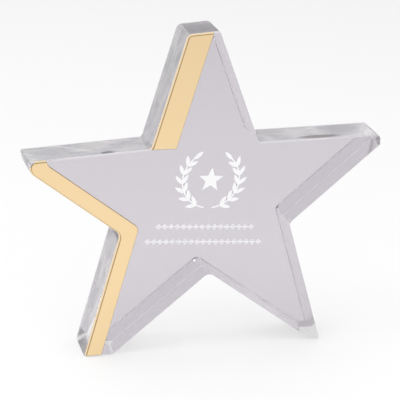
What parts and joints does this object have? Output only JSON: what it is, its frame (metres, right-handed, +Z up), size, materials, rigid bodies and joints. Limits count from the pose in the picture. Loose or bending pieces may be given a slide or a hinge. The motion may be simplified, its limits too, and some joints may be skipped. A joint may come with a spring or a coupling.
{
  "type": "star award",
  "caption": "Free-standing clear acrylic star award with gold mirror strips on its left edges, a silver mirror back panel and a white wreath motif.",
  "frame": {"origin": "on the surface the award stands on, under the middle of its bounding box", "axes": "+Z up, front face looks towards -Y and tips back towards +Y, +X to the viewer's right across the face"},
  "size_m": [0.1902, 0.035, 0.1759],
  "materials": {
    "clear_acrylic": "polished",
    "gold_mirror": "polished",
    "silver_mirror": "gloss",
    "clear_adhesive": "satin",
    "white_ink": "satin"
  },
  "bodies": {
    "root": {"star_block": "clear_acrylic", "top_strip": "gold_mirror", "top_strip_adhesive": "clear_adhesive", "side_strip": "gold_mirror", "side_strip_adhesive": "clear_adhesive", "back_panel": "silver_mirror", "back_panel_adhesive": "clear_adhesive", "motif_star": "white_ink", "motif_laurel_left": "white_ink", "motif_laurel_right": "white_ink", "motif_rule_upper": "white_ink", "motif_rule_lower": "white_ink"}
  },
  "joints": []
}
